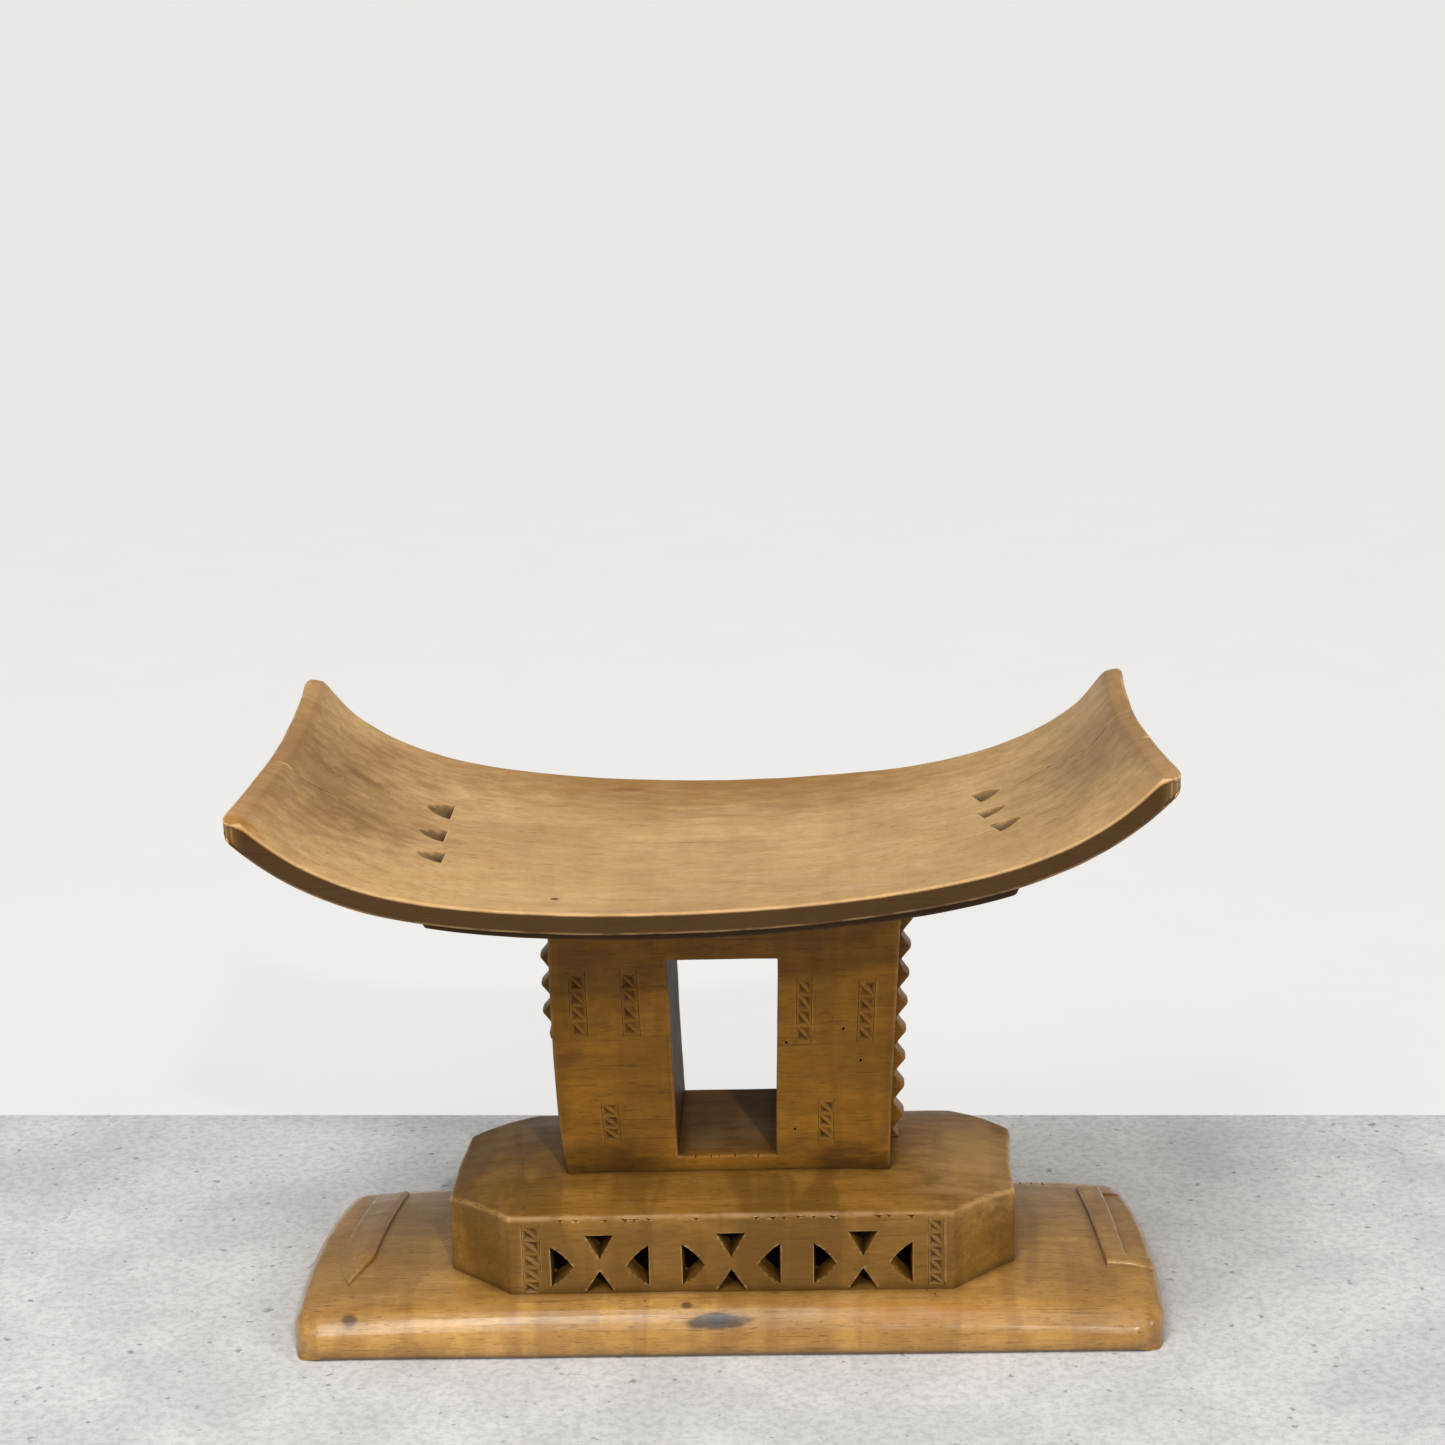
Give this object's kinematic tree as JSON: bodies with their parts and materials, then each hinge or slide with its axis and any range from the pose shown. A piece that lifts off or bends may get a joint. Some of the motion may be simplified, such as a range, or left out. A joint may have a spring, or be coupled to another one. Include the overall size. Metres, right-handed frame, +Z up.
{
  "type": "carved wooden headrest stool",
  "caption": "Curved seat or neck rest on a windowed column, on a hollow pierced plinth and a domed base slab, carved in wood.",
  "frame": {"origin": "on the floor, under the middle of the seat: the middle of the bounding box's bottom face", "axes": "+X along the seat's length to the right as seen from the front, +Y across the seat to the back, +Z up"},
  "size_m": [0.5, 0.252, 0.3416],
  "materials": {
    "seat_wood": "satin hand polish, pale tan, worn",
    "column_wood": "satin hand polish, golden brown",
    "plinth_wood": "satin hand polish, golden brown, bright worn edges",
    "base_wood": "polished front nose, tan, small knots"
  },
  "bodies": {
    "root": {"base_slab": "base_wood", "base_left_relief": "base_wood", "base_right_relief": "base_wood", "plinth_front_panel": "plinth_wood", "plinth_back_panel": "plinth_wood", "plinth_left_end": "plinth_wood", "plinth_right_end": "plinth_wood", "plinth_deck": "plinth_wood", "left_pier": "column_wood", "right_pier": "column_wood", "window_sill": "column_wood", "window_lintel": "column_wood", "left_saw_ridge": "column_wood", "right_saw_ridge": "column_wood", "seat_block": "column_wood", "seat": "seat_wood"}
  },
  "joints": []
}
